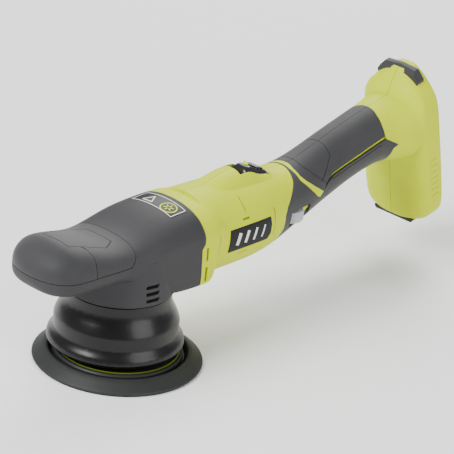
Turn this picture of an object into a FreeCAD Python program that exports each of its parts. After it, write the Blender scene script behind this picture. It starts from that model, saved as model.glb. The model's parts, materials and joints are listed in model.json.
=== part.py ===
"""Cordless dual-action polisher, bare tool without its battery.

Millimetres.  +X runs from the drive spindle toward the battery foot, +Z is up.  The origin is on the drive
spindle's axis, level with the hook face under the pad, so the pad's own axis lies one orbit radius aside.
"""
import FreeCAD, Part
import math
import os
import Sketcher
from FreeCAD import Rotation, Vector

doc = FreeCAD.newDocument("Polisher")

# --------------------------------------------------------------------------- driving dimensions
dimension = {
    # pad and shroud
    "orbit_offset": 4.0,
    "pad_radius": 63.5,
    "pad_edge": 2.6,
    "pad_rim_radius": 54.6,
    "pad_rim_height": 9.3,
    "plate_radius": 48.4,
    "plate_floor": 5.0,
    "plate_top": 9.4,
    "hook_radius": 62.5,
    "hook_thickness": 1.0,
    "shroud_foot": 14.2,
    "shroud_lower_radius": 51.2,
    "shroud_upper_radius": 46.6,
    "shroud_top": 56.8,
    "shroud_neck_radius": 39.4,
    "shroud_wall": 2.4,
    "skirt_radius": 40.6,
    "skirt_bottom": 58.0,
    # gear train
    "motor_height": 86.5,
    "gear_module": 1.25,
    "pinion_teeth": 11,
    "crown_teeth": 32,
    "tooth_face": 6.5,
    "spindle_radius": 6.0,
    "spindle_tip_radius": 4.0,
    "spindle_top": 98.8,
    "hub_bottom": 22.5,
    "hub_top": 57.0,
    "lower_bearing_floor": 60.5,
    "upper_bearing_floor": 92.8,
    # motor
    "motor_front": 64.0,
    "motor_length": 58.0,
    "motor_radius": 25.5,
    "motor_wall": 1.8,
    "shaft_radius": 3.0,
    "fan_front": 48.5,
    "fan_radius": 24.5,
    # housings
    "body_half_width": 38.0,
    "body_floor": 57.2,
    "wall": 2.5,
    "skin": 2.0,
    "groove": 0.5,
    "parting": 0.15,
    # controls
    "slider_travel": 7.0,
    "slider_half_width": 8.6,
    "slider_front": 118.0,
    "slider_rear": 142.6,
    "slider_stem": 136.5,
    "dial_radius": 11.3,
    "dial_floor": 76.5,
    "dial_thickness": 9.0,
    "dial_position": 163.0,
    "dial_inset": 17.2,
    # battery foot
    "foot_tilt": 13.5,
    "foot_low_x": 316.3,
    "foot_low_z": 38.0,
    "foot_depth": 28.0,
    "bay_middle": 86.0,
    "bay_half_width": 14.5,
    "bay_half_height": 16.5,
    "bay_depth": 32.0,
}

sheet = doc.addObject("Spreadsheet::Sheet", "Dimensions")
for row, (alias, number) in enumerate(dimension.items(), start=1):
    sheet.set(f"A{row}", alias)
    sheet.set(f"B{row}", str(number))
    sheet.setAlias(f"B{row}", alias)
doc.recompute()

nodes = {}
UPRIGHT = Rotation()
ALONG_X = Rotation(Vector(0, 1, 0), 90)


def value(expression):
    """Number that a sum of aliases and plain numbers, such as "pad_radius - 2", comes to."""
    total = 0.0
    sign = 1.0
    for word in str(expression).split():
        if word in "+-":
            sign = 1.0 if word == "+" else -1.0
        else:
            total += sign * (dimension[word] if word in dimension else float(word))
    return total


def bound(expression):
    """The same sum written for the expression engine, reading the sheet."""
    words = str(expression).split()
    return " ".join("Dimensions." + word if word in dimension else word for word in words)


def size(obj, **properties):
    """Bind each named property of an object to a sum of sheet cells."""
    for name, expression in properties.items():
        obj.setExpression(name, bound(expression))


def place(obj, x="0", y="0", z="0", rotation=UPRIGHT):
    """Put an object at a point bound to the sheet, turned by a fixed rotation."""
    obj.Placement = FreeCAD.Placement(Vector(value(x), value(y), value(z)), rotation)
    for axis, expression in zip("xyz", (x, y, z)):
        obj.setExpression(f"Placement.Base.{axis}", bound(expression))
    return obj


def node(obj, name):
    """Name an object as one of the finished pieces."""
    obj.Label = name
    nodes[name] = obj
    return obj


# --------------------------------------------------------------------------- building blocks
def revolved(name, profile, x="0", y="0", z="0", rotation=UPRIGHT):
    """PartDesign body turned about its own Z axis from (radius, height) corners bound to the sheet."""
    body = doc.addObject("PartDesign::Body", name)
    sketch = body.newObject("Sketcher::SketchObject", name + "_profile")
    plane = [item for item in body.Origin.OriginFeatures if item.Role == "XZ_Plane"][0]
    sketch.AttachmentSupport = [(plane, "")]
    sketch.MapMode = "FlatFace"
    corners = [Vector(value(radius), value(height), 0) for radius, height in profile]
    count = len(corners)
    for index in range(count):
        sketch.addGeometry(Part.LineSegment(corners[index], corners[(index + 1) % count]), False)
    for index in range(count):
        follower = (index + 1) % count
        sketch.addConstraint(Sketcher.Constraint("Coincident", index, 2, follower, 1))
    for index, (radius, height) in enumerate(profile):
        for kind, expression in (("DistanceX", radius), ("DistanceY", height)):
            constraint = Sketcher.Constraint(kind, -1, 1, index, 1, value(expression))
            number = sketch.addConstraint(constraint)
            sketch.setExpression(f"Constraints[{number}]", bound(expression))
    doc.recompute()
    turn = body.newObject("PartDesign::Revolution", name + "_turn")
    turn.Profile = sketch
    turn.ReferenceAxis = (sketch, ["V_Axis"])
    turn.Angle = 360
    sketch.Visibility = False
    place(body, x, y, z, rotation)
    return node(body, name)


def ring(name, inner, outer, bottom, top, **where):
    """Plain ring of rectangular section."""
    return revolved(name, [(inner, bottom), (outer, bottom), (outer, top), (inner, top)], **where)


def cylinder(radius, height, x="0", y="0", z="0", rotation=UPRIGHT):
    """Part cylinder standing on the given point."""
    solid = doc.addObject("Part::Cylinder", "Cylinder")
    size(solid, Radius=radius, Height=height)
    return place(solid, x, y, z, rotation)


def block(length, width, height, x="0", y="0", z="0", rotation=UPRIGHT):
    """Part box with its low corner on the given point."""
    solid = doc.addObject("Part::Box", "Block")
    size(solid, Length=length, Width=width, Height=height)
    return place(solid, x, y, z, rotation)


def joined(*solids):
    """Boolean union of document objects."""
    result = doc.addObject("Part::MultiFuse", "Union")
    result.Shapes = list(solids)
    return result


def less(base, *tools):
    """Boolean difference of document objects."""
    result = doc.addObject("Part::Cut", "Difference")
    result.Base = base
    result.Tool = tools[0] if len(tools) == 1 else joined(*tools)
    return result


def feature(name, shape):
    """Piece whose free form neither sketches nor primitives describe."""
    piece = doc.addObject("Part::Feature", name)
    piece.Shape = shape
    piece.Placement = FreeCAD.Placement()
    return node(piece, name)


def superellipse(centre, across, upward, half_width, rise, drop, crown, keel, count=36):
    """Ring of control points: crown and keel are the squareness of its upper and lower halves."""
    points = []
    for index in range(count):
        angle = 2 * math.pi * index / count
        cosine = math.cos(angle)
        sine = math.sin(angle)
        power = 2.0 / (crown if sine >= 0 else keel)
        sideways = half_width * math.copysign(abs(cosine) ** power, cosine)
        reach = rise if sine >= 0 else drop
        vertical = reach * math.copysign(abs(sine) ** power, sine)
        points.append(centre + across * sideways + upward * vertical)
    return points


def skinned(rings):
    """Solid inside a cubic B-spline skin whose control net is a row of flat rings, closed by flat ends."""
    sections = len(rings)
    around = len(rings[0])
    surface = Part.BSplineSurface()
    length_knots = list(range(sections - 2))
    length_repeats = [4] + [1] * (sections - 4) + [4]
    surface.buildFromPolesMultsKnots(rings, length_repeats, [1] * (around + 1), length_knots,
                                     list(range(around + 1)), False, True, 3, 3)
    side = surface.toShape()
    ends = [Part.Face(Part.Wire([edge])) for edge in side.Edges if edge.isClosed()]
    shell = Part.Shell([side] + ends)
    shell.sewShape()
    return Part.Solid(shell)


def across_x(x, half_width, centre, rise, drop, crown, keel):
    """Ring in the plane across X at a station."""
    return superellipse(Vector(x, 0, centre), Vector(0, 1, 0), Vector(0, 0, 1),
                        half_width, rise, drop, crown, keel)


def loft_along_x(stations, grow=0.0):
    """Skin over (x, half width, centre, rise, drop, crown, keel) stations, each grown by an even amount."""
    rings = []
    for x, half_width, centre, rise, drop, crown, keel in stations:
        rings.append(across_x(x, half_width + grow, centre, rise + grow, drop + grow, crown, keel))
    return skinned(rings)


def prism(points, low, high, normal="y"):
    """Straight prism on a polygon in the XZ plane (normal y), the XY plane (z) or the YZ plane (x)."""
    if normal == "y":
        corners = [Vector(a, low, b) for a, b in points]
        sweep = Vector(0, high - low, 0)
    elif normal == "z":
        corners = [Vector(a, b, low) for a, b in points]
        sweep = Vector(0, 0, high - low)
    else:
        corners = [Vector(low, a, b) for a, b in points]
        sweep = Vector(high - low, 0, 0)
    return Part.Face(Part.makePolygon(corners + corners[:1])).extrude(sweep)


def side_box(sign, gap=0.0):
    """Half space on one side of the mid plane."""
    low = gap if sign > 0 else -200
    return Part.makeBox(700, 200 - gap, 400, Vector(-200, low, -50))


# --------------------------------------------------------------------------- outer forms
WALL = dimension["wall"]
SKIN = dimension["skin"]
GROOVE = dimension["groove"]
BODY = dimension["body_half_width"]
FLOOR = dimension["body_floor"]
TOP = 130.0
ALL = 60.0


def roundness(share, power):
    """Share of full size reached along a rounded end, from 0 at its tip to 1 where it meets the sides."""
    return (1 - (1 - share) ** power) ** (1 / power)


def head_form(grow=0.0, rear=0.0):
    """Nose that the leading hand holds, swelling into the gear head."""
    nose_tip = -92.0 - grow
    nose_round = 24.0 + grow
    rings = []
    for share in (0.004, 0.05, 0.16, 0.38, 0.7):
        rings.append(across_x(nose_tip + nose_round * share, (32.4 + grow) * roundness(share, 2.4), 90.5,
                              (21.9 + grow) * roundness(share, 2.0), (14.5 + grow) * roundness(share, 3.0),
                              2.5, 3.4))
    # (x, half width, centre, top, bottom, crown, keel)
    for x, half_width, centre, top, bottom, crown, keel in (
            (-69, 32.6, 90.5, 112.4, 76.0, 2.5, 3.6), (-55, 33.0, 90.5, 109.9, 76.0, 2.5, 3.6),
            (-40, 33.4, 91.0, 106.2, 76.0, 2.4, 3.4), (-27, 34.2, 91.5, 104.2, 75.0, 2.3, 3.4),
            (-14, 35.8, 92.0, 105.0, 70.0, 2.3, 4.0), (0, 37.4, 92.5, 108.8, 62.5, 2.3, 6.0),
            (14, BODY, 93.0, 113.6, FLOOR, 2.3, 12.0), (32, BODY, 93.0, 116.4, FLOOR, 2.2, 20.0),
            (50 + rear, BODY, 93.0, 116.9, FLOOR, 2.2, 20.0)):
        rings.append(across_x(x, half_width + grow, centre, top - centre + grow, centre - bottom + grow,
                              crown, keel))
    upper = skinned(rings)
    skirt_radius = dimension["skirt_radius"] + grow
    taper = 0.106
    height = 32.0 + rear + grow
    skirt = Part.makeCone(skirt_radius + taper * rear, skirt_radius + taper * (rear - height), height,
                          Vector(0, 0, dimension["skirt_bottom"] - rear))
    return upper.fuse(skirt)


def motor_form(grow=0.0):
    """Round barrel, neck and handle in one sweep: (x, half width, axis height, half height)."""
    stations = []
    for x, half_width, axis, reach in (
            (60, 34.2, 84.4, 34.2), (85, 34.0, 84.3, 34.0), (108, 33.8, 84.3, 33.8), (126, 33.0, 84.6, 33.0),
            (142, 30.6, 85.4, 30.6), (157, 27.6, 86.6, 27.6), (168, 25.6, 88.5, 26.2), (182, 23.8, 91.9, 25.2),
            (196, 22.6, 96.7, 24.5), (212, 22.1, 102.3, 24.3), (230, 21.9, 108.5, 24.0),
            (248, 21.9, 113.8, 23.9), (266, 22.8, 118.3, 24.3), (278, 24.8, 119.7, 25.2),
            (288, 27.8, 120.4, 27.0), (298, 31.0, 121.0, 29.2), (308, 32.5, 121.6, 30.0)):
        stations.append((x, half_width, axis, reach, reach, 2.15, 2.15))
    return loft_along_x(stations, grow)


def band_form(grow=0.0):
    """Boxy green band right behind the gear head: (x, half width, top, floor, keel)."""
    stations = []
    for x, half_width, top, floor, keel in (
            (24, BODY, 116.4, FLOOR, 20.0), (38, BODY, 116.8, FLOOR, 20.0), (50, BODY, 116.9, FLOOR, 20.0),
            (57.5, BODY, 116.6, FLOOR, 20.0), (60.5, BODY, 116.2, 60.5, 12.0), (62.4, 37.6, 115.8, 67.0, 6.0),
            (66, 36.2, 115.0, 72.0, 4.0), (72, 34.4, 112.0, 74.0, 3.0)):
        stations.append((x, half_width, 93.0, top - 93.0, 93.0 - floor, 2.2, keel))
    return loft_along_x(stations, grow)


def hump_form(grow=0.0):
    """Raised saddle that carries the slide switch: (x, half width, top)."""
    stations = []
    for x, half_width, top in ((60, 8.0, 112.0), (70, 12.0, 116.0), (80, 15.4, 119.0), (90, 16.6, 121.6),
                               (99, 16.8, 124.0), (107, 16.8, 125.3), (115, 16.8, 125.7), (122, 16.8, 125.4),
                               (128, 17.0, 121.6), (134, 17.2, 119.2), (142, 17.0, 118.4), (149, 14.0, 115.4),
                               (156, 9.0, 110.5)):
        stations.append((x, half_width, 104.0, top - 104.0, 12.0, 2.35, 3.0))
    return loft_along_x(stations, grow)


FOOT_DEPTH = dimension["foot_depth"]
FOOT_TILT = math.radians(dimension["foot_tilt"])
FOOT_UP = Vector(-math.sin(FOOT_TILT), 0, math.cos(FOOT_TILT))
FOOT_BACK = Vector(math.cos(FOOT_TILT), 0, math.sin(FOOT_TILT))
FOOT_LOW = Vector(dimension["foot_low_x"], 0, dimension["foot_low_z"])


def foot_frame(rise, back, aside=0.0):
    """Point in the foot's own tilted frame: rise along its height, back toward the battery."""
    return FOOT_LOW + FOOT_UP * rise + FOOT_BACK * back + Vector(0, aside, 0)


def foot_form(grow=0.0, front=0.0, back=FOOT_DEPTH):
    """Battery foot, a tall tombstone: (rise, half width, how far its front is set back)."""
    rings = []
    outline = ((-3.0, 20.0, 3.0), (-2.2, 25.0, 1.6), (0.4, 29.2, 0.6), (4, 32.0, 0), (9, 33.9, 0), (16, 34.7, 0),
               (30, 34.9, 0), (62, 34.4, 0), (80, 33.6, 0), (97, 33.0, 0), (106, 31.8, 0), (112, 29.2, 0.2),
               (117, 25.2, 2.2), (122, 20.8, 5.8), (126.5, 16.0, 9.6), (130, 11.0, 12.4), (131.6, 7.0, 14.2))
    lowest = outline[0][0]
    highest = outline[-1][0]
    for rise, half_width, setback in outline:
        lift = -grow if rise == lowest else grow if rise == highest else 0.0
        low = front + setback - grow
        high = back + grow
        rings.append(superellipse(foot_frame(rise + lift, (low + high) / 2), Vector(0, 1, 0), FOOT_BACK,
                                  half_width + grow, (high - low) / 2, (high - low) / 2, 9.0, 2.7))
    return skinned(rings)


def foot_block(rise_low, rise_high, back_low, back_high, half_width):
    """Box square to the battery foot."""
    return foot_prism([(-half_width, rise_low), (half_width, rise_low), (half_width, rise_high),
                       (-half_width, rise_high)], back_low, back_high)


def foot_prism(points, back_low, back_high):
    """Prism through the foot from front to back on an outline of (sideways, rise) points."""
    corners = [foot_frame(rise, back_low, aside) for aside, rise in points]
    return Part.Face(Part.makePolygon(corners + corners[:1])).extrude(FOOT_BACK * (back_high - back_low))


def side_view(outline, inset=0.0):
    """Prism across the whole tool on an outline drawn in side view, drawn in from its edge by an inset."""
    corners = [Vector(x, 0, z) for x, z in outline]
    face = Part.Face(Part.makePolygon(corners + corners[:1]))
    if inset:
        face = face.makeOffset2D(-inset, 2)
    face.translate(Vector(0, -ALL, 0))
    return face.extrude(Vector(0, 2 * ALL, 0))


def line_cut(points, width):
    """Thin wall across the tool that follows an open line drawn in side view."""
    pieces = []
    for (x1, z1), (x2, z2) in zip(points, points[1:]):
        length = math.hypot(x2 - x1, z2 - z1)
        along = ((x2 - x1) / length, (z2 - z1) / length)
        half = width / 2
        start = (x1 - along[0] * half, z1 - along[1] * half)
        end = (x2 + along[0] * half, z2 + along[1] * half)
        aside = (-along[1] * half, along[0] * half)
        pieces.append(side_view([(start[0] + aside[0], start[1] + aside[1]), (end[0] + aside[0], end[1] + aside[1]),
                                 (end[0] - aside[0], end[1] - aside[1]), (start[0] - aside[0], start[1] - aside[1])]))
    return pieces[0].fuse(pieces[1:]) if len(pieces) > 1 else pieces[0]


# --------------------------------------------------------------------------- gear head covers
seam_line = [(46.0, TOP), (46.3, 116.0), (46.8, 110.0), (47.1, 103.0), (47.8, 97.0), (47.7, 92.0), (44.8, 88.0),
             (46.0, 68.0), (46.2, 40.0)]
head_zone = side_view([(-120, TOP)] + seam_line + [(-120, 40)])
soft_outline = [(-120, 89.8), (-36, 90), (-24, 90.7), (-20, 95.7), (-17, 100.7), (-16, 103.4), (-14.9, 107.3),
                (-14.4, TOP), (-120, TOP)]
cap_outline = [(-120, 60), (-55, 60), (-55.5, 88.5), (-56.3, 97.4), (-54.5, 104.3), (-55, 107.4), (-58.3, 109.4),
               (-64, TOP), (-120, TOP)]


def palm_outline(gap):
    """Six-sided pad under the palm, seen from above, grown by a gap."""
    corners = [(-67.5, 13.5), (-35.5, 19.0), (-25.5, 13.0), (-25.5, -13.0), (-35.5, -19.0), (-67.5, -13.5)]
    middle = -46.0
    reach = 20.0
    scale = 1 + gap / reach
    return prism([(middle + (x - middle) * scale, y * scale) for x, y in corners], 96, TOP, "z")


head_outer = head_form().common(head_zone)
head_core = head_form(-SKIN)
head_hollow = head_form(-SKIN - WALL, 12.0)
cover = head_outer.cut(head_hollow)
cover = cover.cut(head_outer.cut(head_core).common(side_view(soft_outline)))
vents = []
for vent_height in (62.0, 67.1, 72.2):
    vents.append(side_view([(-10.5, vent_height - 1.3), (0.0, vent_height - 1.3), (1.8, vent_height + 1.3),
                            (-10.5, vent_height + 1.3)]))
label_low = -21.4
label_zone = prism([(25.5, label_low), (42.8, label_low), (42.8, -label_low), (25.5, -label_low)], 100, TOP, "z")
label_skin = head_outer.cut(head_form(-0.8)).common(label_zone)
feature("head_cover", cover.cut([label_skin] + vents))
feature("top_label", label_skin)
soft_skin = head_outer.cut(head_core).common(side_view(soft_outline, GROOVE))
half_gap = GROOVE / 2
palm_hole = palm_outline(half_gap)
cap_zone = side_view(cap_outline, half_gap)
band_zone = side_view([(-60, 60), (60, 60), (60, TOP), (-66, TOP)]).cut(side_view(cap_outline, -half_gap))
feature("nose_cap", soft_skin.common(cap_zone).cut(palm_hole))
feature("palm_band", soft_skin.common(band_zone).cut(palm_hole))
feature("palm_pad", soft_skin.common(palm_outline(-half_gap)))

# --------------------------------------------------------------------------- clamshell body
SEAM_GAP = 0.3
body_zone = side_view([(x + SEAM_GAP, z) for x, z in seam_line] + [(200, 40), (200, TOP)])
collar_edge = [(168.5, TOP), (167.8, 116), (165.4, 112.8), (162.2, 107.7), (155.2, 101.1), (147.6, 93.9),
               (144.9, 88), (145.1, 77.3), (142.3, 70), (136, 60), (130, 30)]
stripe_front = [(171, TOP), (169.6, 115.8), (168.6, 113.6), (169.8, 110), (170.4, 107.2), (177.9, 100.4),
                (189.9, 90.2)]
stripe_rear = [(175, TOP), (173.6, 116.4), (171.3, 113.8), (172.2, 109.6), (176.3, 105.8), (186, 99.4),
               (196.2, 93.2)]
under_line = [(192.8, 89.4), (197, 95.4), (200.4, 99.6), (207.2, 104.4), (222, 108.6), (238.6, 113)]
grip_low = [(199, 100.2), (205, 105.6), (214.5, 108.6), (238.5, 115.4), (265.4, 123.8)]
grip_end = [(265.4, 126), (264.4, 132.2), (264.7, 139), (266.8, 143), (268, 170)]
tab_edge = [(267, 121.8), (280.8, 115.2), (276.6, 111.6), (276, 60), (270, 30)]
front_outline = [(20, TOP)] + collar_edge + [(20, 30)]
collar_outline = collar_edge + tab_edge[::-1] + under_line[::-1] + stripe_front[::-1]
stripe_outline = stripe_front + under_line[:1] + stripe_rear[::-1]
piping_outline = stripe_rear[-1:] + grip_low + tab_edge[:1] + under_line[::-1]
grip_outline = stripe_rear + grip_low + grip_end
tail_outline = grip_end[::-1] + tab_edge + [(420, 30), (420, 170)]

barrel = motor_form().fuse([band_form(), hump_form()]).common(body_zone)
motor_full = motor_form()
motor_slim = motor_form(-SKIN)
foot_outer = foot_form()
body_outer = motor_slim.common(side_view([(130, 20), (320, 20), (320, 170), (130, 170)]))
body_outer = body_outer.fuse([barrel.common(side_view(front_outline)), motor_full.common(side_view(stripe_outline)),
                              motor_full.common(side_view(piping_outline)),
                              motor_full.common(side_view(tail_outline)), foot_outer])

deck_back = FOOT_DEPTH - 8.0
deck_thickness = 3.0
foot_wall = 3.0
bay_middle = dimension["bay_middle"]
bay_low = bay_middle - dimension["bay_half_height"]
bay_high = bay_middle + dimension["bay_half_height"]
bay_end = deck_back - dimension["bay_depth"]
bay_half_width = dimension["bay_half_width"]
foot_hollow = foot_form(-foot_wall, 0.0, FOOT_DEPTH + 20)
foot_hollow = foot_hollow.common(foot_block(-20, 170, -60, deck_back - deck_thickness, ALL))
foot_recess = foot_form(-foot_wall, -20.0, FOOT_DEPTH + 20).common(foot_block(-20, 170, deck_back, 90, ALL))
bay_outer = foot_block(bay_low - WALL, bay_high + WALL, bay_end - WALL, deck_back, bay_half_width + WALL)
bay_inner = foot_block(bay_low, bay_high, bay_end, FOOT_DEPTH + 20, bay_half_width)
hump_hollow = hump_form(-WALL).common(side_view([(50, 60), (106, 60), (106, TOP), (50, TOP)]))
front_hollow = motor_form(-WALL).common(side_view([(20, TOP), (162, TOP), (158, 110), (152, 104), (143, 95),
                                                   (140, 88), (140, 78), (136, 68), (128, 30), (20, 30)]))
hollow = motor_form(-SKIN - WALL).fuse([band_form(-WALL), hump_hollow, front_hollow, foot_hollow])
switch_bed = Part.makeBox(40, 24, 20, Vector(106, -12, 112.4))
body_shell = body_outer.cut(hollow.cut(switch_bed))
body_shell = body_shell.fuse(bay_outer.common(motor_full.fuse(foot_outer)))
body_shell = body_shell.cut(bay_inner.fuse(foot_recess))

# slots, recesses and screw bosses of the clamshell
slots = [side_view([(50.0, 77.6), (52.0, 77.6), (51.8, 88.3), (49.8, 88.3)]),
         side_view([(50.0, 61.0), (52.2, 61.0), (52.3, 72.7), (50.1, 72.7)]),
         line_cut([(98.3, 102.8), (97.9, 105.7), (97.7, 108.3), (97.3, 111.4)], 0.9),
         side_view([(93.6, 97.1), (100.8, 97.1), (101.2, 98.7), (93.6, 98.7)]),
         line_cut([(129.2, 98.2), (130.1, 95.0), (130.3, 86.0)], 0.9)]
grooves = line_cut([(64.5, 94.4), (65.5, 90.4), (65.2, 84.5), (64.2, 79.0)], 0.8)
grooves = grooves.fuse([line_cut([(130.3, 86.0), (130.2, 76.0)], 0.8), line_cut([(92.3, 70.5), (100.6, 71.8)], 0.9)])
grooves = grooves.cut(motor_form(-0.9)).cut(band_form(-0.9))
well_front = dimension["slider_front"] - dimension["slider_travel"] - 0.8
well_rear = dimension["slider_rear"] + 0.8
well_half_width = dimension["slider_half_width"] + 0.8
well_floor = 114.9
stem_front = dimension["slider_stem"]
stem_half_width = 3.0
stem_length = 4.0
slider_well = Part.makeBox(well_rear - well_front, 2 * well_half_width, 30.0,
                           Vector(well_front, -well_half_width, well_floor))
stem_slot = Part.makeBox(stem_length + dimension["slider_travel"] + 1.2, 2 * stem_half_width + 1.2, 20.0,
                         Vector(stem_front - dimension["slider_travel"] - 0.6, -stem_half_width - 0.6, 104.0))
dial_well = Part.makeCylinder(dimension["dial_radius"] + 0.6, dimension["dial_thickness"] + 1.2,
                              Vector(dimension["dial_position"], -dimension["dial_inset"],
                                     dimension["dial_floor"] - 0.6))
dial_window = Part.makeBox(26.5, 40.0, dimension["dial_thickness"] + 3.6,
                           Vector(dimension["dial_position"] - 9.0, -60.6, dimension["dial_floor"] - 2.1))
dial_opening = dial_well.fuse(dial_window)
screw_sites = [(143.0, 66.0), (186.0, 84.5), (259.0, 105.0), (320.6, 53.5), (302.0, 156.0)]
boss_radius = 4.2
pilot_radius = 1.5
screw_head_radius = 3.0
screw_seat = 12.0
bosses = []
screw_holes = []
for x, z in screw_sites:
    bosses.append(Part.makeCylinder(boss_radius, 80, Vector(x, -40, z), Vector(0, 1, 0)))
    screw_holes.append(Part.makeCylinder(pilot_radius, 50, Vector(x, -10, z), Vector(0, 1, 0)))
    screw_holes.append(Part.makeCylinder(screw_head_radius + 0.2, 40, Vector(x, screw_seat, z), Vector(0, 1, 0)))
body_shell = body_shell.fuse(body_outer.common(Part.makeCompound(bosses)))
body_shell = body_shell.cut(slots + [grooves, slider_well, stem_slot, dial_opening] + screw_holes)

badge_outline = [(79.2, 93.0), (124.6, 93.2), (126.0, 87.0), (125.8, 79.5), (122.8, 75.1), (78.2, 75.1)]
badge_skin = motor_form(0.4).cut(motor_form(-0.8)).common(side_view(badge_outline))
body_shell = body_shell.cut(badge_skin)

bumper_back = FOOT_DEPTH - 6.5
bumper_slope = side_view([(x, z) for x, y, z in (foot_frame(112, 12.8), foot_frame(129.4, 12.8),
                                                 foot_frame(134.0, 18.5), foot_frame(134.0, bumper_back),
                                                 foot_frame(112, bumper_back))])
top_bumper = foot_prism([(-19.8, 119.5), (-21.0, 124.5), (-15.6, 132.2), (0, 133.4), (15.6, 132.2), (21.0, 124.5),
                         (19.8, 119.5), (16.5, 122.5), (8.0, 126.5), (0, 127.5), (-8.0, 126.5), (-16.5, 122.5)],
                        10, FOOT_DEPTH).common(bumper_slope)
low_bumper = foot_prism([(-19.0, -4.6), (19.0, -4.6), (20.5, -1.6), (-20.5, -1.6)], 2.5, FOOT_DEPTH - 0.5)
body_shell = body_shell.cut([top_bumper, low_bumper])

for label, side in (("body_shell_left", -1), ("body_shell_right", 1)):
    feature(label, body_shell.common(side_box(side, dimension["parting"])))
feature("side_badges", badge_skin)
feature("foot_bumper_top", top_bumper)
feature("foot_bumper_bottom", low_bumper)

# --------------------------------------------------------------------------- overmoulded grips
grip_skin = motor_full.cut(motor_slim).cut([dial_opening] + screw_holes)
thumb_line = [(179.5, 116.5), (179.3, 114.7), (184.6, 109.7), (193.4, 103.1), (203.1, 114.7), (207.1, 118.6),
              (207.7, 122.4), (208.9, 126), (209.5, TOP)]
border_line = [(193.4, 103.1), (197.8, 100.1)]
bead_line = [(206, 101.6), (222, 105.8), (238.6, 110.2), (262, 117.4)]
line_depth = 0.8
grip_lines = line_cut(thumb_line, 0.6).fuse(line_cut(border_line, 0.6)).cut(motor_form(-line_depth))
bead_cut = line_cut(bead_line, 0.6).cut(motor_form(-line_depth))
collar = grip_skin.common(side_view(collar_outline, half_gap)).cut(bead_cut)
grip_panel = grip_skin.common(side_view(grip_outline, half_gap)).cut(grip_lines)
for label, side in (("left", -1), ("right", 1)):
    half_space = side_box(side, dimension["parting"])
    feature("neck_collar_" + label, collar.common(half_space))
    feature("handle_grip_" + label, grip_panel.common(half_space))

# --------------------------------------------------------------------------- pad and shroud
PAD = {"y": "0 - orbit_offset"}
ring("hook_disc", "12", "hook_radius", "0", "hook_thickness", **PAD)
revolved("pad_flange", [("12", "hook_thickness"), ("pad_radius", "hook_thickness"), ("pad_radius", "pad_edge"),
                        ("pad_rim_radius", "pad_rim_height"), ("pad_rim_radius - 2", "pad_rim_height + 0.2"),
                        ("pad_rim_radius - 3.6", "8"), ("plate_radius + 1.2", "plate_floor"),
                        ("12", "plate_floor")], **PAD)
revolved("backing_plate", [("3.2", "plate_floor"), ("plate_radius", "plate_floor"), ("plate_radius", "8.2"),
                           ("plate_radius - 1.2", "plate_top"), ("18", "plate_top"), ("15", "12"),
                           ("13", "17"), ("3.2", "17")], **PAD)
ring("guard_ring", "plate_radius - 3.8", "plate_radius - 2.6", "plate_top", "plate_top + 1.0", **PAD)
ring("pad_washer", "3.3", "8", "plate_floor - 1.2", "plate_floor", **PAD)
revolved("pad_bolt", [("2", "1.2"), ("5", "1.2"), ("5", "plate_floor - 1.2"), ("3", "plate_floor - 1.2"),
                      ("3", "26"), ("0", "26"), ("0", "3"), ("2", "3")], **PAD)
revolved("pad_shaft", [("3", "17"), ("12", "17"), ("12", "20"), ("8", "21.4"), ("7.4", "24"), ("6", "24"),
                       ("6", "36"), ("0", "36"), ("0", "27"), ("3", "27")], **PAD)
revolved("shroud", [("shroud_lower_radius - 3.9", "shroud_foot"), ("shroud_lower_radius - 1.6", "shroud_foot"),
                    ("shroud_lower_radius - 0.6", "15.2"), ("shroud_lower_radius", "16.4"),
                    ("shroud_lower_radius - 0.6", "19.5"), ("shroud_lower_radius - 2.6", "22.5"),
                    ("shroud_upper_radius + 0.3", "25"), ("shroud_upper_radius", "27"),
                    ("shroud_upper_radius", "34"), ("shroud_upper_radius - 0.8", "36.5"),
                    ("shroud_neck_radius + 4.4", "41"), ("shroud_neck_radius + 2.4", "44.5"),
                    ("shroud_neck_radius + 0.8", "48"), ("shroud_neck_radius", "52"),
                    ("shroud_neck_radius", "shroud_top"),
                    ("shroud_neck_radius - shroud_wall", "shroud_top"),
                    ("shroud_neck_radius - shroud_wall", "47"), ("shroud_neck_radius", "43.5"),
                    ("shroud_neck_radius + 2", "40"), ("shroud_upper_radius - 3", "36"),
                    ("shroud_upper_radius - shroud_wall", "33"), ("shroud_upper_radius - shroud_wall", "26.4"),
                    ("shroud_lower_radius - 4.4", "21.4"), ("shroud_lower_radius - 3.3", "18.6"),
                    ("shroud_lower_radius - 3.3", "16.4")])

# --------------------------------------------------------------------------- gear case and spindle
case_solid = revolved("case_solid", [("0", "57"), ("23", "57"), ("33", "54"), ("34.5", "50"), ("36.9", "50"),
                                     ("36.9", "56.4"), ("32.4", "57.8"), ("30.2", "73"), ("28", "89"),
                                     ("21", "96.5"), ("13", "spindle_top + 1.5"), ("0", "spindle_top + 1.5")])
case_void = revolved("case_void", [("0", "spindle_top"), ("11", "spindle_top"), ("11", "upper_bearing_floor"),
                                   ("9", "upper_bearing_floor"), ("9", "91.2"), ("20", "91.2"), ("25", "87"),
                                   ("25", "70.5"), ("12.4", "70.5"), ("12.4", "lower_bearing_floor + 8"),
                                   ("14", "lower_bearing_floor + 8"), ("14", "50"), ("0", "50")])
del nodes["case_solid"], nodes["case_void"]
snout = cylinder("18", "30.5", x="16", z="motor_height", rotation=ALONG_X)
shaft_tunnel = cylinder("8.6", "13", x="13.3", z="motor_height", rotation=ALONG_X)
bearing_seat = cylinder("9.5", "12", x="26", z="motor_height", rotation=ALONG_X)
fan_space = cylinder("15", "24", x="38", z="motor_height", rotation=ALONG_X)
retainer_ring = ring("retainer_ring", "9", "22", "54.5", "57")
del nodes["retainer_ring"]
retainer_sites = (("18", "0"), ("0", "18"), ("0 - 18", "0"), ("0", "0 - 18"))
shanks = [cylinder("1.5", "8", x=x, y=y, z="54.5") for x, y in retainer_sites]
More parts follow.
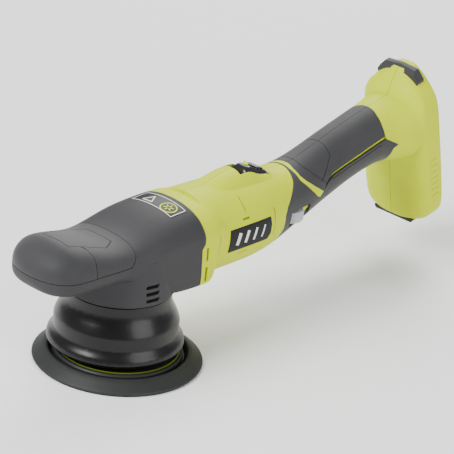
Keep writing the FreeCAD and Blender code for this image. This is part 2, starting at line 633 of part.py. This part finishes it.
heads = [cylinder("3", "2.4", x=x, y=y, z="52.1") for x, y in retainer_sites]
node(less(joined(case_solid, snout), case_void, shaft_tunnel, bearing_seat, fan_space, *shanks), "gearbox_case")
node(less(retainer_ring, *shanks), "bearing_retainer")
node(joined(*heads, *shanks), "retainer_screws")

revolved("output_spindle", [("0", "41"), ("spindle_radius", "41"), ("spindle_radius", "92.4"),
                            ("spindle_tip_radius", "92.4"), ("spindle_tip_radius", "spindle_top - 0.6"),
                            ("0", "spindle_top - 0.6")])


def bearing_pieces(bore, outer, floor, width, ball, count, x="0", y="0", z="0", rotation=UPRIGHT):
    """Inner race, outer race and balls of one bearing, standing on its floor."""
    centre_radius = (bore + outer) / 2
    races = []
    for low, high in ((bore, centre_radius - ball - 0.05), (centre_radius + ball + 0.05, outer)):
        race = revolved("race", [(str(low), floor), (str(high), floor), (str(high), f"{floor} + {width}"),
                                 (str(low), f"{floor} + {width}")], x, y, z, rotation)
        del nodes["race"]
        races.append(race)
    balls = []
    for index in range(count):
        turn = rotation.multiply(Rotation(Vector(0, 0, 1), 360.0 * index / count))
        sphere = doc.addObject("Part::Sphere", "Ball")
        size(sphere, Radius=str(ball))
        reach = turn.multVec(Vector(centre_radius, 0, value(floor) + width / 2))
        sphere.Placement = FreeCAD.Placement(Vector(value(x), value(y), value(z)) + reach, turn)
        balls.append(sphere)
    return races[0], races[1], balls


def bearing_nodes(name, *bearings):
    """One node of inner races, one of outer races and one of balls for the bearings given."""
    node(joined(*[bearing[0] for bearing in bearings]), name + "_inner_races")
    node(joined(*[bearing[1] for bearing in bearings]), name + "_outer_races")
    node(joined(*[ball for bearing in bearings for ball in bearing[2]]), name + "_balls")


bearing_nodes("spindle_bearing", bearing_pieces(6.0, 14.0, "lower_bearing_floor", 8.0, 2.4, 10),
              bearing_pieces(4.0, 11.0, "upper_bearing_floor", 6.0, 2.0, 9))
pad_inner, pad_outer, pad_balls = bearing_pieces(6.0, 14.0, "24.2", 8.0, 2.4, 10, **PAD)
node(pad_inner, "pad_bearing_inner_race")
node(pad_outer, "pad_bearing_outer_race")
node(joined(*pad_balls), "pad_bearing_balls")

cup = cylinder("18", "21.5", y="0 - orbit_offset", z="hub_bottom")
cup_bore = cylinder("14", "9.7", y="0 - orbit_offset", z="hub_bottom")
cup_relief = cylinder("9", "5.6", y="0 - orbit_offset", z="32")
neck = cylinder("11", "12.6", z="41")
neck_bore = cylinder("spindle_radius", "16", z="41")
weight = less(cylinder("36", "15", z="hub_bottom + 2"),
              cylinder("16", "16", y="0 - orbit_offset", z="hub_bottom + 1.5"),
              block("80", "46", "20", x="0 - 40", y="0 - 40", z="hub_bottom"))
node(less(joined(cup, neck, weight), cup_bore, cup_relief, neck_bore), "eccentric_hub")


# --------------------------------------------------------------------------- bevel gears
GEAR_APEX = Vector(0, 0, dimension["motor_height"])
MODULE = dimension["gear_module"]
PINION = dimension["pinion_teeth"]
CROWN = dimension["crown_teeth"]
CONE_DISTANCE = MODULE * math.hypot(PINION, CROWN) / 2


def tooth_ring(teeth, axis, start, first_angle, cone):
    """Straight bevel teeth that taper toward the shared apex."""
    solids = []
    side = axis.cross(start)
    for index in range(int(teeth)):
        angle = first_angle + 2 * math.pi * index / teeth
        radial = start * math.cos(angle) + side * math.sin(angle)
        around = axis.cross(radial)
        along = radial * math.sin(cone) + axis * math.cos(cone)
        height = radial * math.cos(cone) - axis * math.sin(cone)
        wires = []
        for reach in (CONE_DISTANCE, CONE_DISTANCE - dimension["tooth_face"]):
            shrink = reach / CONE_DISTANCE * MODULE
            outline = [(0.78, -1.25), (0.26, 0.8), (-0.26, 0.8), (-0.78, -1.25)]
            corners = [GEAR_APEX + along * reach + around * (a * shrink) + height * (b * shrink)
                       for a, b in outline]
            wires.append(Part.makePolygon(corners + corners[:1]))
        solids.append(Part.makeLoft(wires, True, True))
    return solids


def gear_blank(axis, cone, bore, length):
    """Cone under the teeth with a plain hub behind it, bored for its shaft."""
    root = 1.12 * MODULE
    points = []
    for reach in (CONE_DISTANCE - dimension["tooth_face"], CONE_DISTANCE):
        shrink = reach / CONE_DISTANCE
        points.append((reach * math.sin(cone) - root * shrink * math.cos(cone),
                       reach * math.cos(cone) + root * shrink * math.sin(cone)))
    (small, near), (large, far) = points
    profile = [(bore, near), (small, near), (large, far), (large, far + length), (bore, far + length)]
    turn = Rotation(Vector(0, 0, 1), axis)
    corners = [Vector(radius, 0, height) for radius, height in profile]
    solid = Part.Face(Part.makePolygon(corners + corners[:1])).revolve(Vector(), Vector(0, 0, 1), 360)
    solid.Placement = FreeCAD.Placement(GEAR_APEX, turn)
    return solid


pinion_cone = math.atan2(PINION, CROWN)
crown_cone = math.pi / 2 - pinion_cone
crown_pitch_angle = 2 * math.pi / CROWN
crown_teeth = tooth_ring(CROWN, Vector(0, 0, -1), Vector(1, 0, 0), crown_pitch_angle / 2, crown_cone)
crown_blank = gear_blank(Vector(0, 0, -1), crown_cone, dimension["spindle_radius"], 3.0)
feature("crown_gear", crown_blank.fuse(crown_teeth))
pinion_teeth = tooth_ring(PINION, Vector(1, 0, 0), Vector(0, 0, -1), 0.0, pinion_cone)
pinion_blank = gear_blank(Vector(1, 0, 0), pinion_cone, dimension["shaft_radius"], 4.0)
feature("drive_pinion", pinion_blank.fuse(pinion_teeth))

# --------------------------------------------------------------------------- motor, turned about X
SHAFT = {"z": "motor_height", "rotation": ALONG_X}
ring("motor_shaft", "0", "shaft_radius", "14", "136", **SHAFT)
bearing_nodes("motor_bearing", bearing_pieces(3.0, 9.5, "29", 6.0, 1.8, 8, **SHAFT),
              bearing_pieces(3.0, 9.5, "129", 6.0, 1.8, 8, **SHAFT))
revolved("motor_can", [("motor_radius - motor_wall", "motor_front + 2"), ("10", "motor_front + 2"),
                       ("10", "motor_front"), ("motor_radius", "motor_front"),
                       ("motor_radius", "motor_front + motor_length"),
                       ("motor_radius - motor_wall", "motor_front + motor_length")], **SHAFT)
end_cup = revolved("end_cup", [("9.5", "128"), ("23", "128"), ("23", "122.4"), ("motor_radius", "122.4"),
                               ("motor_radius", "135.6"), ("9.5", "135.6")], **SHAFT)
del nodes["end_cup"]
stem_flat = block("16", "10", "8", x="121", y="0 - 5", z="106.8")
node(less(end_cup, stem_flat), "motor_end_frame")
armature = cylinder("15.5", "38", x="74", z="motor_height", rotation=ALONG_X)
armature_bore = cylinder("shaft_radius", "44", x="70", z="motor_height", rotation=ALONG_X)
slot_cuts = []
for index in range(12):
    slot_turn = Rotation(Vector(1, 0, 0), 30.0 * index)
    slot_cut = doc.addObject("Part::Box", "ArmatureSlot")
    size(slot_cut, Length="40", Width="2.2", Height="7")
    corner = Vector(73, 0, dimension["motor_height"]) + slot_turn.multVec(Vector(0, -1.1, 9.5))
    slot_cut.Placement = FreeCAD.Placement(corner, slot_turn)
    slot_cuts.append(slot_cut)
node(less(armature, armature_bore, *slot_cuts), "armature_core")
winding_front = ring("winding_front", "5", "13.6", "68.4", "74", **SHAFT)
winding_rear = ring("winding_rear", "8.2", "13.6", "112", "117", **SHAFT)
del nodes["winding_front"], nodes["winding_rear"]
node(joined(winding_front, winding_rear), "windings")
ring("commutator", "shaft_radius", "8", "112.4", "127", **SHAFT)
magnet_ring = less(cylinder("23.6", "44", x="71", z="motor_height", rotation=ALONG_X),
                   cylinder("17", "46", x="70", z="motor_height", rotation=ALONG_X))
node(less(magnet_ring, block("50", "60", "12", x="68", y="0 - 30", z="motor_height - 6")), "field_magnets")
brushes = [block("5", "7", "4", x="119.4", y=y, z="motor_height - 2") for y in ("8.05", "0 - 15.05")]
node(joined(*brushes), "carbon_brushes")
holders = []
for y in ("9.6", "0 - 17.6"):
    sleeve = block("7.6", "8", "6.6", x="118.1", y=y, z="motor_height - 3.3")
    bore = block("5.2", "9", "4.2", x="119.3", y=y + " - 0.5", z="motor_height - 2.1")
    holders.append(less(sleeve, bore))
node(joined(*holders), "brush_holders")
fan_disc = cylinder("fan_radius", "2", x="fan_front + 8", z="motor_height", rotation=ALONG_X)
fan_hub = cylinder("8", "10", x="fan_front", z="motor_height", rotation=ALONG_X)
fan_bore = cylinder("shaft_radius", "14", x="fan_front - 1", z="motor_height", rotation=ALONG_X)
blades = []
for index in range(11):
    blade_turn = Rotation(Vector(1, 0, 0), 360.0 * index / 11)
    blade = doc.addObject("Part::Box", "Blade")
    size(blade, Length="8.4", Width="1.4", Height="fan_radius - 8")
    corner = Vector(dimension["fan_front"], 0, dimension["motor_height"]) + blade_turn.multVec(Vector(0, -0.7, 7.5))
    blade.Placement = FreeCAD.Placement(corner, blade_turn)
    blades.append(blade)
node(less(joined(fan_disc, fan_hub, *blades), fan_bore), "cooling_fan")

# --------------------------------------------------------------------------- controls
thumb_profile = []
for x, half_width, top in ((118.0, 7.6, 118.6), (118.4, 8.4, 121.2), (120.2, 8.6, 123.8), (123.6, 8.6, 125.0),
                           (127.0, 8.6, 124.4), (130.0, 8.6, 122.6), (134.0, 8.6, 121.0), (138.0, 8.6, 119.9),
                           (141.2, 8.5, 119.1), (142.3, 8.2, 118.3)):
    thumb_profile.append((x, half_width, 114.8, top - 114.8, 2.0, 3.4, 3.4))
slider_floor = 116.9
slider = loft_along_x(thumb_profile).common(Part.makeBox(40, 40, 20, Vector(110, -20, slider_floor)))
ribs = []
for x, crest in ((130.6, 123.4), (134.0, 122.2), (137.4, 121.0)):
    ribs.append(Part.makeBox(1.2, 13.0, crest - slider_floor, Vector(x, -6.5, slider_floor)))
stem = Part.makeBox(stem_length, 2 * stem_half_width, 10.0, Vector(stem_front, -stem_half_width, 107.3))
mark = Part.makeCylinder(2.2, 2.0, Vector(125.6, 0, 123.5))
feature("switch_slider", slider.fuse(ribs + [stem]).cut(mark))
feature("switch_mark", mark)
bezel_plate = Part.makeBox(well_rear - well_front - 0.6, 2 * well_half_width - 0.6, 1.6,
                           Vector(well_front + 0.3, 0.3 - well_half_width, well_floor + 0.1))
feature("switch_bezel", bezel_plate.cut(stem_slot))
node(block("20", "16", "14.8", x="137", y="0 - 8", z="92"), "switch_body")
revolved("speed_dial", [("2", "dial_floor"), ("dial_radius - 0.8", "dial_floor"),
                        ("dial_radius", "dial_floor + 0.8"), ("dial_radius", "dial_floor + dial_thickness - 0.8"),
                        ("dial_radius - 0.8", "dial_floor + dial_thickness"), ("2", "dial_floor + dial_thickness")],
         x="dial_position", y="0 - dial_inset")
revolved("dial_potentiometer", [("0", "dial_floor + 0.4"), ("1.95", "dial_floor + 0.4"),
                                ("1.95", "dial_floor + dial_thickness + 0.8"),
                                ("3.6", "dial_floor + dial_thickness + 0.8"),
                                ("3.6", "dial_floor + dial_thickness + 7"),
                                ("0", "dial_floor + dial_thickness + 7")],
         x="dial_position", y="0 - dial_inset")

# --------------------------------------------------------------------------- battery end
board_turn = Rotation(Vector(0, 1, 0), -16)
node(block("56", "24", "1.6", x="196", y="0 - 12", z="100", rotation=board_turn), "control_board")
terminal_low = bay_middle - 15.0
feature("terminal_block", foot_block(terminal_low, terminal_low + 30.0, bay_end, bay_end + 7.0, 14.0))
contacts = []
for aside in (-9.0, -3.0, 3.0, 9.0):
    blade = Part.makeBox(11.0, 0.8, 9.0)
    blade.Placement = FreeCAD.Placement(foot_frame(bay_middle - 4.5, bay_end + 7.0, aside - 0.4),
                                        Rotation(Vector(0, 1, 0), -dimension["foot_tilt"]))
    contacts.append(blade)
feature("battery_contacts", Part.makeCompound(contacts))

screws = []
for x, z in screw_sites:
    head = Part.makeCylinder(3.0, 3.0, Vector(x, 12.0, z), Vector(0, 1, 0))
    recess = Part.makeCylinder(1.4, 1.6, Vector(x, 13.6, z), Vector(0, 1, 0))
    shank = Part.makeCylinder(pilot_radius, 20.0, Vector(x, -8.0, z), Vector(0, 1, 0))
    screws.append(head.cut(recess).fuse(shank))
feature("housing_screws", Part.makeCompound(screws))

# --------------------------------------------------------------------------- checks and files
doc.recompute()
for item in doc.Objects:
    if "Invalid" in item.State or "Error" in item.State:
        raise RuntimeError(f"{item.Label} failed: {item.State}")
for name, item in nodes.items():
    if item.Shape.isNull() or not item.Shape.isValid():
        raise RuntimeError(f"{name} has no valid shape")
os.makedirs("parts", exist_ok=True)
for name, item in nodes.items():
    item.Shape.exportStep(f"parts/{name}.step")
    print(name, len(item.Shape.Solids), "solids", round(item.Shape.Volume / 1000, 2), "cubic centimetres")
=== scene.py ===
import json
import math

import bpy
from mathutils import Matrix, Vector
from mathutils.bvhtree import BVHTree


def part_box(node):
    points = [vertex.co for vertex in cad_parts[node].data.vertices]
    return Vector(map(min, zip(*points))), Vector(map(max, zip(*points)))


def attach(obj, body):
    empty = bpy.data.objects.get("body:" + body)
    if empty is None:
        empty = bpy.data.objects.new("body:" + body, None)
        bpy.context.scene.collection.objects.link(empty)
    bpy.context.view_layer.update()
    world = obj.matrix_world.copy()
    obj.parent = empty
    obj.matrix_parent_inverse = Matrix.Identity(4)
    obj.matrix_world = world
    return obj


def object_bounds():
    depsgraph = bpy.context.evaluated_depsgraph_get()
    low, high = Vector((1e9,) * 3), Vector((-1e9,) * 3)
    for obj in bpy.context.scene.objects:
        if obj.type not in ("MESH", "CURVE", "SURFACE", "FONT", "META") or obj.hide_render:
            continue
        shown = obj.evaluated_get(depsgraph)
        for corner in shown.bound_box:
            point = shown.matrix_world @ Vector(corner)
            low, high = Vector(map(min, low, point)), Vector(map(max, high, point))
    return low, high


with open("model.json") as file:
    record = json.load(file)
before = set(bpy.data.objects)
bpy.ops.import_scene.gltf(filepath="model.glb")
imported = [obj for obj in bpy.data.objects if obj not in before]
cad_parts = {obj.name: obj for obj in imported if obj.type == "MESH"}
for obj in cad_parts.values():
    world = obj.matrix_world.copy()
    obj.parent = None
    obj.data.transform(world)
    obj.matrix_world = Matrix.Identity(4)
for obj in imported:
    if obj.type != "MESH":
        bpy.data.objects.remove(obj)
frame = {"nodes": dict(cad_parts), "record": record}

cad_low, cad_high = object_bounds()
MM = 0.001
slot_of = {entry["node"]: entry["material_slot"] for entry in frame["record"]["subparts"]}


# ----------------------------------------------------------------------------- materials
BLOTCH = 28.0
GRAIN_DEPTH = 0.05 * MM
COAT_ROUGHNESS = 0.12
METAL_SHINE = 0.5


def material(name, colour, roughness, metallic=0.0, coat=0.0, tint=0.08, grain=0.4, grain_size=0.6,
             sheen=0.0, shine=0.25):
    """Principled finish with broad tone variation, a slightly uneven gloss and a moulded or cast grain.

    Tint is the share that the tone varies by, and grain_size is in millimetres.
    """
    made = bpy.data.materials.new(name)
    made.use_nodes = True
    tree = made.node_tree
    shader = tree.nodes["Principled BSDF"]
    shader.inputs["Metallic"].default_value = metallic
    shader.inputs["Specular IOR Level"].default_value = METAL_SHINE if metallic else shine
    shader.inputs["Coat Weight"].default_value = coat
    shader.inputs["Coat Roughness"].default_value = COAT_ROUGHNESS
    shader.inputs["Sheen Weight"].default_value = sheen
    place = tree.nodes.new("ShaderNodeTexCoord")

    def noise(cell, detail):
        """Noise texture in the piece's own space whose cells are this many millimetres."""
        texture = tree.nodes.new("ShaderNodeTexNoise")
        texture.inputs["Scale"].default_value = 1 / (cell * MM)
        texture.inputs["Detail"].default_value = detail
        tree.links.new(place.outputs["Object"], texture.inputs["Vector"])
        return texture

    broad = noise(BLOTCH, 3.0)
    fine = noise(grain_size, 2.0)
    tone = tree.nodes.new("ShaderNodeValToRGB")
    for element, share, position in zip(tone.color_ramp.elements, (1 - tint, 1 + tint), (0.3, 0.7)):
        element.position = position
        element.color = [min(channel * share, 1.0) for channel in colour] + [1.0]
    tree.links.new(broad.outputs["Fac"], tone.inputs["Fac"])
    tree.links.new(tone.outputs["Color"], shader.inputs["Base Color"])
    gloss = tree.nodes.new("ShaderNodeMapRange")
    gloss.inputs["To Min"].default_value = max(roughness - 0.06, 0.04)
    gloss.inputs["To Max"].default_value = min(roughness + 0.08, 1.0)
    tree.links.new(fine.outputs["Fac"], gloss.inputs["Value"])
    tree.links.new(gloss.outputs["Result"], shader.inputs["Roughness"])
    bump = tree.nodes.new("ShaderNodeBump")
    bump.inputs["Strength"].default_value = grain
    bump.inputs["Distance"].default_value = GRAIN_DEPTH
    tree.links.new(fine.outputs["Fac"], bump.inputs["Height"])
    tree.links.new(bump.outputs["Normal"], shader.inputs["Normal"])
    return made


LIME = (0.54, 0.63, 0.0)
finishes = {}
for name, colour, roughness, options in (
        ("lime_plastic", LIME, 0.5, dict(tint=0.03, grain=0.25, shine=0.12)),
        ("grey_plastic", (0.032, 0.032, 0.034), 0.55, dict(tint=0.06, grain=0.5, grain_size=0.5)),
        ("grey_rubber", (0.027, 0.027, 0.029), 0.6, dict(grain=0.8, sheen=0.15)),
        ("badge_plastic", (0.008, 0.008, 0.009), 0.35, dict(tint=0.1, grain=0.1, shine=0.15)),
        ("black_plastic", (0.018, 0.018, 0.019), 0.48, dict(tint=0.12, grain=0.5)),
        ("black_rubber", (0.003, 0.003, 0.0035), 0.3, dict(coat=0.06, tint=0.15, grain=0.15, shine=0.3)),
        ("pad_rubber", (0.020, 0.023, 0.021), 0.5, dict(tint=0.1, grain=0.5)),
        ("hook_fabric", (0.02, 0.02, 0.021), 0.9, dict(tint=0.3, grain=1.0, grain_size=1.2, sheen=0.4)),
        ("gloss_black", (0.014, 0.014, 0.015), 0.22, dict(coat=0.3, tint=0.1, grain=0.1)),
        ("lime_mark", LIME, 0.4, dict(tint=0.04, grain=0.1, shine=0.12)),
        ("dial_grey", (0.42, 0.43, 0.45), 0.5, dict(tint=0.05)),
        ("cast_aluminium", (0.55, 0.56, 0.57), 0.5, dict(metallic=1.0, grain=1.0, grain_size=0.9)),
        ("steel", (0.55, 0.55, 0.56), 0.28, dict(metallic=1.0, grain=0.2, grain_size=0.3)),
        ("cast_steel", (0.2, 0.2, 0.21), 0.55, dict(metallic=1.0, grain=1.0, grain_size=0.9)),
        ("magnet", (0.1, 0.1, 0.105), 0.6, dict(metallic=0.6, grain=0.8)),
        ("copper", (0.72, 0.36, 0.17), 0.32, dict(metallic=1.0, grain=0.5, grain_size=0.5)),
        ("carbon", (0.04, 0.04, 0.042), 0.6, dict(grain=0.8)),
        ("board_green", (0.015, 0.11, 0.04), 0.35, dict(coat=0.3, tint=0.12, grain=0.2))):
    finishes[name] = material(name, colour, roughness, **options)
# Guard ring: its lime plastic darkened to olive, painted shade standing in for the shade under the shroud.
guard_lime_painted_shade = material("guard_lime_painted_shade", (0.10, 0.135, 0.0), 0.5, tint=0.1, grain=0.3)
pale_print = material("pale_print", (0.72, 0.72, 0.70), 0.5, tint=0.05, grain=0.2)


# ----------------------------------------------------------------------------- finish of the CAD pieces
EDGE_ANGLE = math.radians(32)
EDGE_WIDTH = {"lime_plastic": 0.35, "grey_plastic": 0.35, "grey_rubber": 0.4, "black_rubber": 0.4,
              "pad_rubber": 0.5, "gloss_black": 0.35, "dial_grey": 0.4, "badge_plastic": 0.2}
OTHER_EDGE_WIDTH = 0.15
for name, node in frame["nodes"].items():
    slot = slot_of[name]
    node.data.materials.clear()
    # The guard ring gets the darkened lime with painted shade instead of its own lime finish.
    node.data.materials.append(guard_lime_painted_shade if name == "guard_ring" else finishes[slot])
    node.data.polygons.foreach_set("use_smooth", [True] * len(node.data.polygons))
    weld = node.modifiers.new("weld", "WELD")
    weld.merge_threshold = 0.002 * MM
    edge = node.modifiers.new("edge", "BEVEL")
    edge.width = EDGE_WIDTH.get(slot, OTHER_EDGE_WIDTH) * MM
    edge.segments = 2
    edge.limit_method = "ANGLE"
    edge.angle_limit = EDGE_ANGLE
    edge.use_clamp_overlap = True
    edge.harden_normals = False
    even = node.modifiers.new("even", "WEIGHTED_NORMAL")
    even.keep_sharp = False


# ----------------------------------------------------------------------------- printed and moulded marks
def tree_of(*names):
    """Search tree over the faces of CAD pieces."""
    corners = []
    faces = []
    for name in names:
        mesh = frame["nodes"][name].data
        start = len(corners)
        corners.extend(vertex.co.copy() for vertex in mesh.vertices)
        faces.extend([start + index for index in face.vertices] for face in mesh.polygons)
    return BVHTree.FromPolygons(corners, faces)


RUN_UP = 0.2


def mark(name, strips, tree, direction, lift, depth, finish, body="housing"):
    """Thin raised print: bands of flat points laid onto a piece along a direction, each band a closed solid.

    A strip is two rows of points of the same count, its two long edges.
    """
    vertices = []
    faces = []
    for near_row, far_row in strips:
        start = len(vertices)
        count = len(near_row)
        for row in (near_row, far_row):
            for point in row:
                place = tree.ray_cast(Vector(point) - direction * RUN_UP, direction)[0]
                if place is None:
                    raise RuntimeError(f"{name} misses its piece at {point}")
                vertices.append(place - direction * lift)
                vertices.append(place + direction * depth)
        for index in range(count - 1):
            a = start + 2 * index
            b = start + 2 * (count + index)
            faces.append((a, a + 2, b + 2, b))
            faces.append((a + 1, b + 1, b + 3, a + 3))
            faces.append((a, a + 1, a + 3, a + 2))
            faces.append((b, b + 2, b + 3, b + 1))
        if near_row[0] != near_row[-1]:
            for end in (start, start + 2 * (count - 1)):
                faces.append((end, end + 2 * count, end + 2 * count + 1, end + 1))
    mesh = bpy.data.meshes.new(name)
    mesh.from_pydata(vertices, [], faces)
    mesh.validate()
    piece = bpy.data.objects.new(name, mesh)
    bpy.context.scene.collection.objects.link(piece)
    mesh.materials.append(finish)
    fix = piece.modifiers.new("weld", "WELD")
    fix.merge_threshold = 0.001 * MM
    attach(piece, body)
    return piece


def bar(start, end, width, turn, steps=8):
    """Two rows of points along a straight bar; turn lays a flat (along, up) pair into the row frame."""
    along = Vector((end[0] - start[0], end[1] - start[1])).normalized()
    aside = Vector((-along.y, along.x)) * width / 2
    rows = []
    for sign in (-1, 1):
        row = []
        for index in range(steps + 1):
            share = index / steps
            flat = Vector(start) * (1 - share) + Vector(end) * share + aside * sign
            row.append(turn(flat))
        rows.append(row)
    return tuple(rows)


def hoop(centre, radius, width, turn, steps=40):
    """Two rows of points round a flat ring."""
    rows = []
    for reach in (radius - width / 2, radius + width / 2):
        row = []
        for index in range(steps + 1):
            angle = 2 * math.pi * (index % steps) / steps
            around = Vector((math.cos(angle), math.sin(angle)))
            row.append(turn(Vector(centre) + around * reach))
        rows.append(row)
    return tuple(rows)


def on_top(flat):
    """Flat (x, y) millimetres as a point over the head."""
    return (flat[0] * MM, flat[1] * MM, 0.12)


def on_side(side):
    """Flat (x, z) millimetres as a point beside the tool."""
    return lambda flat: (flat[0] * MM, side * 0.06, flat[1] * MM)


DOWN = Vector((0, 0, -1))
PRINT_LIFT = 0.12 * MM
PRINT_DEPTH = 0.1 * MM
top_tree = tree_of("top_label")


def print_on_label(name, strips, finish):
    """Mark printed on the label over the head."""
    mark(name, strips, top_tree, DOWN, PRINT_LIFT, PRINT_DEPTH, finish)


def outline(corners, width, steps):
    """Bars along the sides of a polygon on top of the head."""
    count = len(corners)
    return [bar(corners[index], corners[(index + 1) % count], width, on_top, steps) for index in range(count)]


ring_centre = (33.2, -11.0)
RING_RADIUS = 6.2
SPOKE_INNER = 1.2
SPOKE_OUTER = 4.0
print_on_label("label_ring", [hoop(ring_centre, RING_RADIUS, 1.0, on_top)], finishes["lime_mark"])
petals = []
for index in range(6):
    angle = math.radians(60 * index)
    inner = (ring_centre[0] + SPOKE_INNER * math.cos(angle), ring_centre[1] + SPOKE_INNER * math.sin(angle))
    outer = (ring_centre[0] + SPOKE_OUTER * math.cos(angle), ring_centre[1] + SPOKE_OUTER * math.sin(angle))
    petals.append(bar(inner, outer, 0.9, on_top, 4))
print_on_label("label_petals", petals, finishes["lime_mark"])
triangle = outline([(29.6, 3.0), (38.0, 7.6), (29.6, 12.2)], 1.0, 8)
print_on_label("label_triangle", triangle, pale_print)
border = outline([(26.6, -20.0), (41.8, -20.0), (41.8, 20.0), (26.6, 20.0)], 0.6, 16)
print_on_label("label_frame", border, pale_print)

# slanted bars on the badges, each thinner than the one before
badge_tree = tree_of("side_badges")
BAR_LOW = 79.6
BAR_HIGH = 88.8
BAR_START = 87.0
BAR_PITCH = 9.2
BAR_SLANT = 3.0
BAR_WIDTH = 3.4
BAR_THINNING = 0.6
for side, side_name in ((-1, "left"), (1, "right")):
    bars = []
    for index in range(4):
        x = BAR_START + BAR_PITCH * index
        width = BAR_WIDTH - BAR_THINNING * index
        bars.append(bar((x, BAR_LOW), (x + BAR_SLANT, BAR_HIGH), width, on_side(side), 6))
    mark("badge_bars_" + side_name, bars, badge_tree, Vector((0, -side, 0)), PRINT_LIFT, PRINT_DEPTH,
         pale_print)

# moulded ribs on the flanks of the foot
shell_trees = {-1: tree_of("body_shell_left"), 1: tree_of("body_shell_right")}
RIB_START = 22.0
RIB_PITCH = 5.5
RIB_FRONT = 12.0
RIB_BACK = 20.0
RIB_WIDTH = 1.6
RIB_LIFT = 0.5 * MM
RIB_DEPTH = 0.3 * MM
FOOT_TILT = math.radians(13.5)
FOOT_LOW = Vector((316.3, 38.0))


def on_foot(rise, back):
    """Side-view point (x, z) in millimetres in the tilted frame of the foot."""
    up = Vector((-math.sin(FOOT_TILT), math.cos(FOOT_TILT)))
    rear = Vector((math.cos(FOOT_TILT), math.sin(FOOT_TILT)))
    return FOOT_LOW + up * rise + rear * back


for side, side_name in ((-1, "left"), (1, "right")):
    ribs = []
    for index in range(7):
        rise = RIB_START + RIB_PITCH * index
        ribs.append(bar(on_foot(rise, RIB_FRONT), on_foot(rise, RIB_BACK), RIB_WIDTH, on_side(side), 4))
    mark("foot_ribs_" + side_name, ribs, shell_trees[side], Vector((0, -side, 0)), RIB_LIFT, RIB_DEPTH,
         finishes["lime_plastic"])

# ridges round the speed dial
dial_low, dial_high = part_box("speed_dial")
dial_centre = (dial_low + dial_high) / 2
dial_radius = (dial_high.x - dial_low.x) / 2
ridge_vertices = []
ridge_faces = []
RIDGES = 36
RIDGE_HALF_WIDTH = 0.45 * MM
RIDGE_REACH = 0.3 * MM
RIDGE_MARGIN = 1.2 * MM
for index in range(RIDGES):
    angle = 2 * math.pi * index / RIDGES
    outward = Vector((math.cos(angle), math.sin(angle), 0))
    aside = Vector((-math.sin(angle), math.cos(angle), 0)) * RIDGE_HALF_WIDTH
    start = len(ridge_vertices)
    for height in (dial_low.z + RIDGE_MARGIN, dial_high.z - RIDGE_MARGIN):
        base = Vector((dial_centre.x, dial_centre.y, height))
        ridge_vertices.append(base + outward * (dial_radius - RIDGE_REACH) - aside)
        ridge_vertices.append(base + outward * (dial_radius + RIDGE_REACH))
        ridge_vertices.append(base + outward * (dial_radius - RIDGE_REACH) + aside)
    for face in ((0, 1, 4, 3), (1, 2, 5, 4), (2, 0, 3, 5), (0, 2, 1), (3, 4, 5)):
        ridge_faces.append([start + corner for corner in face])
ridge_mesh = bpy.data.meshes.new("dial_ridges")
ridge_mesh.from_pydata(ridge_vertices, [], ridge_faces)
ridge_mesh.materials.append(finishes["dial_grey"])
dial_ridges = bpy.data.objects.new("dial_ridges", ridge_mesh)
bpy.context.scene.collection.objects.link(dial_ridges)
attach(dial_ridges, "dial")

# ----------------------------------------------------------------------------- studio
floor_mesh = bpy.data.meshes.new("floor")
REACH = 6.0
floor_corners = []
for x, y in ((-REACH, -REACH), (REACH, -REACH), (REACH, REACH), (-REACH, REACH)):
    floor_corners.append((x, y, cad_low.z))
floor_mesh.from_pydata(floor_corners, [], [(0, 1, 2, 3)])
floor = bpy.data.objects.new("floor", floor_mesh)
bpy.context.scene.collection.objects.link(floor)
floor_mesh.materials.append(material("floor_paper", (0.93, 0.93, 0.93), 0.9, tint=0.01, grain=0.0))


def lamp(name, position, target, size, power):
    """Square soft light aimed at a point."""
    data = bpy.data.lights.new(name, "AREA")
    data.size = size
    data.energy = power
    light = bpy.data.objects.new(name, data)
    bpy.context.scene.collection.objects.link(light)
    light.location = position
    light.rotation_euler = (Vector(target) - Vector(position)).to_track_quat("-Z", "Y").to_euler()
    return light


middle = (cad_low + cad_high) / 2
lamp("key", (-1.3, 0.3, 1.4), middle, 0.9, 58)
lamp("fill", (0.2, -1.6, 0.8), middle, 1.2, 20)
lamp("rim", (1.2, 0.8, 1.2), middle, 1.0, 26)
world = bpy.data.worlds.new("studio")
world.use_nodes = True
world.node_tree.nodes["Background"].inputs["Color"].default_value = (1, 1, 1, 1)
world.node_tree.nodes["Background"].inputs["Strength"].default_value = 0.45
bpy.context.scene.world = world

lens = bpy.data.cameras.new("camera")
lens.lens = 174.45
lens.sensor_width = 36.0
camera = bpy.data.objects.new("camera", lens)
bpy.context.scene.collection.objects.link(camera)
sight = Vector((0.68901, 0.60425, -0.40019)).normalized()
right = Vector((0.68711, -0.72026, 0.09547)).normalized()
upward = right.cross(sight)
facing = Matrix((right, upward, -sight)).transposed()
camera.matrix_world = Matrix.Translation((-1.0446, -1.0145, 0.7474)) @ facing.to_4x4()
bpy.context.scene.camera = camera
